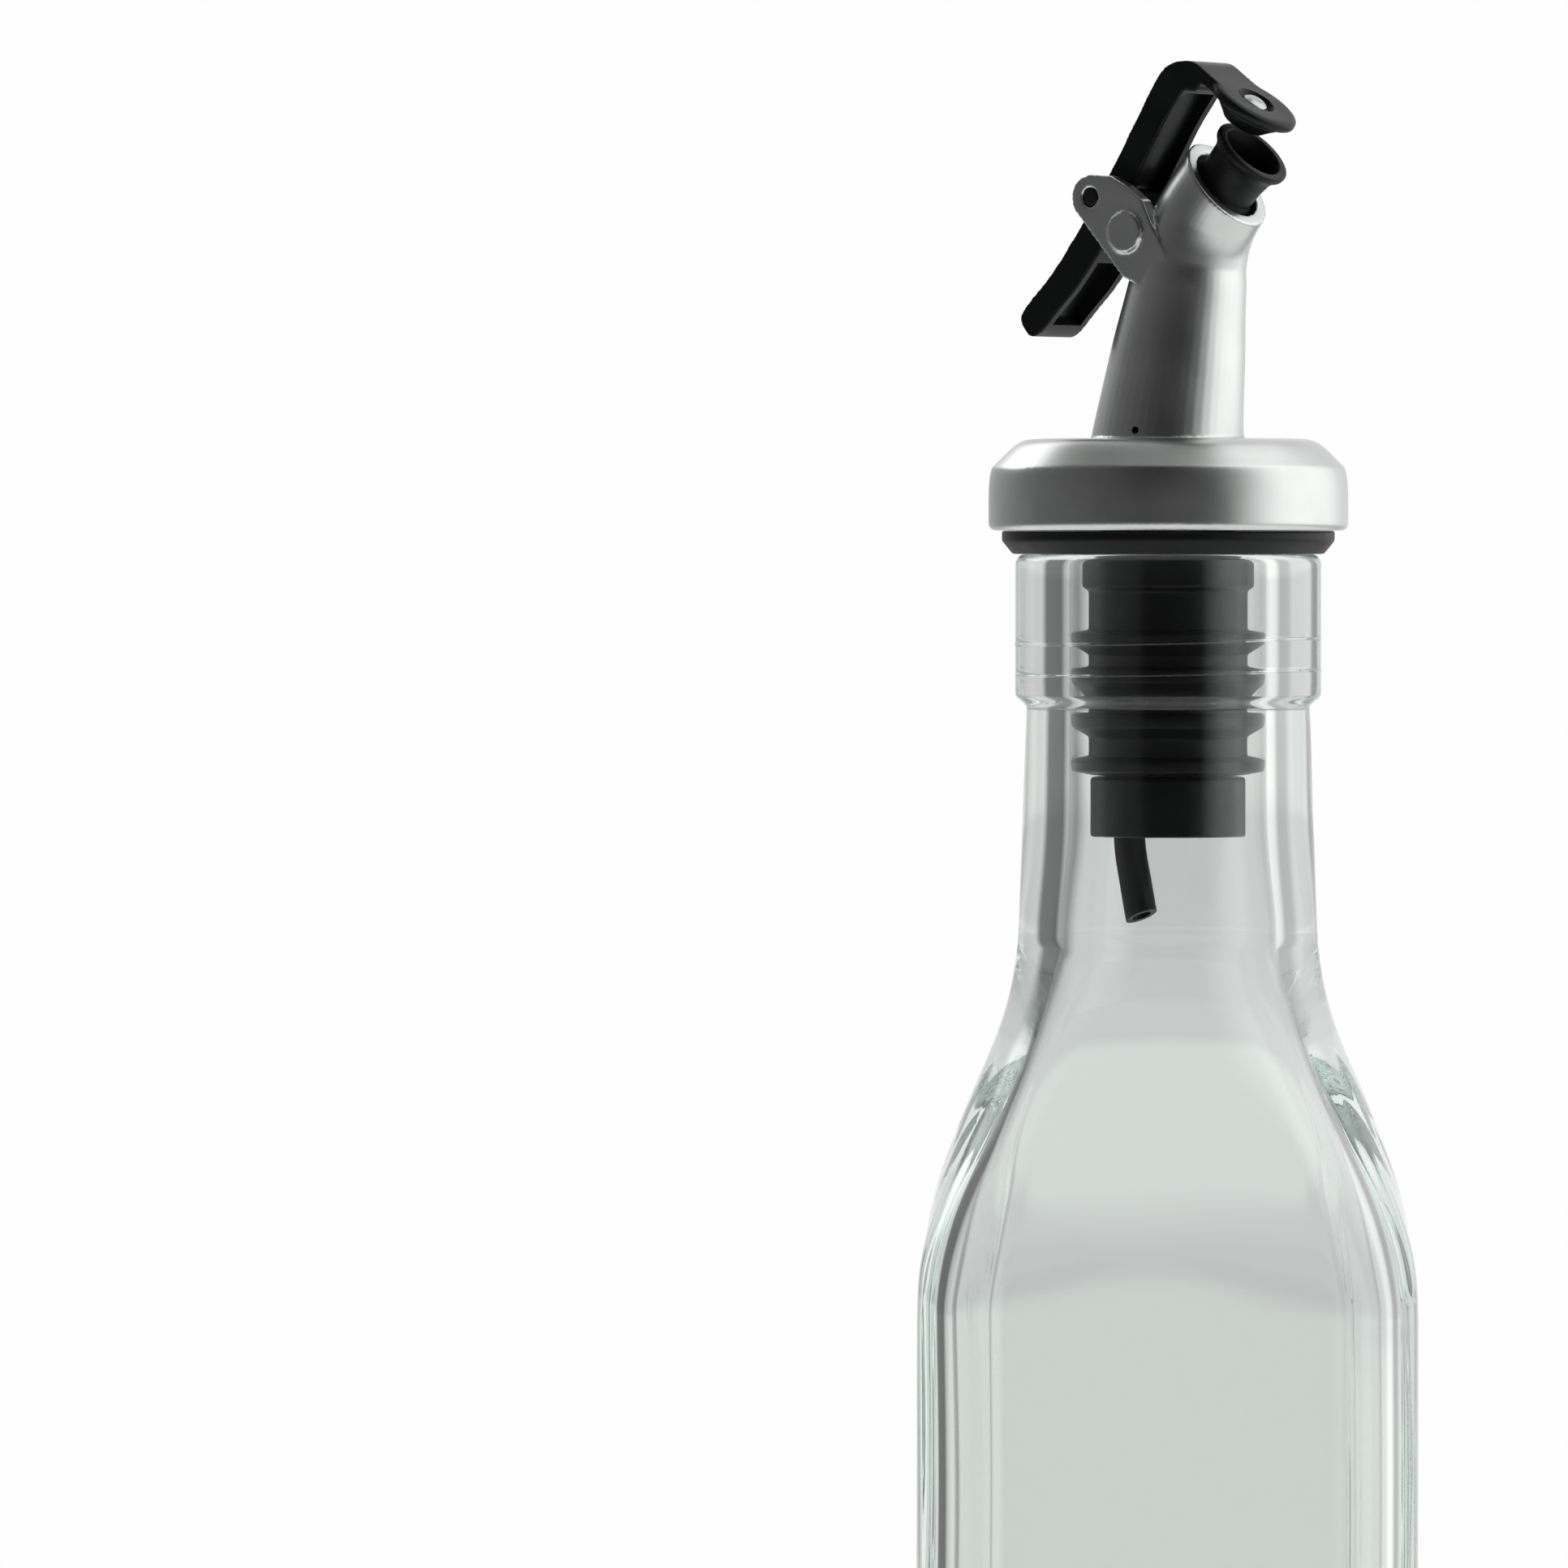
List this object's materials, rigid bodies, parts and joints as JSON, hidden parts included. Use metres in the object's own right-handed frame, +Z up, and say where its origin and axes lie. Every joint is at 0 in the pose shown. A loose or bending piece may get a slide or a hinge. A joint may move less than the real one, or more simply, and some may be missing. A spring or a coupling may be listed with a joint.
{
  "type": "glass oil bottle",
  "caption": "Tall square glass oil bottle with a round neck and a push-in metal pourer whose lever flips a cap off the slanted spout.",
  "frame": {"origin": "centre of the square base, on the surface the bottle stands on", "axes": "+Z up along the bottle's axis; two flat sides face -Y and +Y; the spout points between +X and -Y"},
  "size_m": [0.046, 0.046, 0.2548],
  "materials": {
    "flint_glass": "clear, faintly green at the edges",
    "satin_chrome": "satin",
    "black_plastic": "fine satin",
    "black_silicone": "matt",
    "black_steel": "blackened",
    "bright_steel": "satin"
  },
  "bodies": {
    "bottle": {"glass_bottle": "flint_glass"},
    "sleeve": {"stopper_sleeve": "black_silicone"},
    "pourer": {"stopper_core": "black_plastic", "air_tube": "black_silicone", "pourer_housing": "satin_chrome", "oil_tube": "black_plastic", "spout_nozzle": "black_silicone", "pivot_pin": "black_steel"},
    "lever": {"flip_lever": "black_plastic", "cap_seal": "black_silicone", "cap_rivet": "bright_steel"}
  },
  "joints": [
    {"name": "pourer_lift", "type": "slide", "parent": "bottle", "child": "sleeve", "axis": [0, 0, 1], "range_m": [0, 0.04]},
    {"name": "pourer_turn", "type": "hinge", "parent": "sleeve", "child": "pourer", "pos_m": [0, 0, 0.209], "axis": [0, 0, 1], "continuous": true},
    {"name": "lever_flip", "type": "hinge", "parent": "pourer", "child": "lever", "pos_m": [-0.00429, 0.00312, 0.2422], "axis": [-0.5878, -0.809, 0], "range_deg": [-11, 25]}
  ]
}
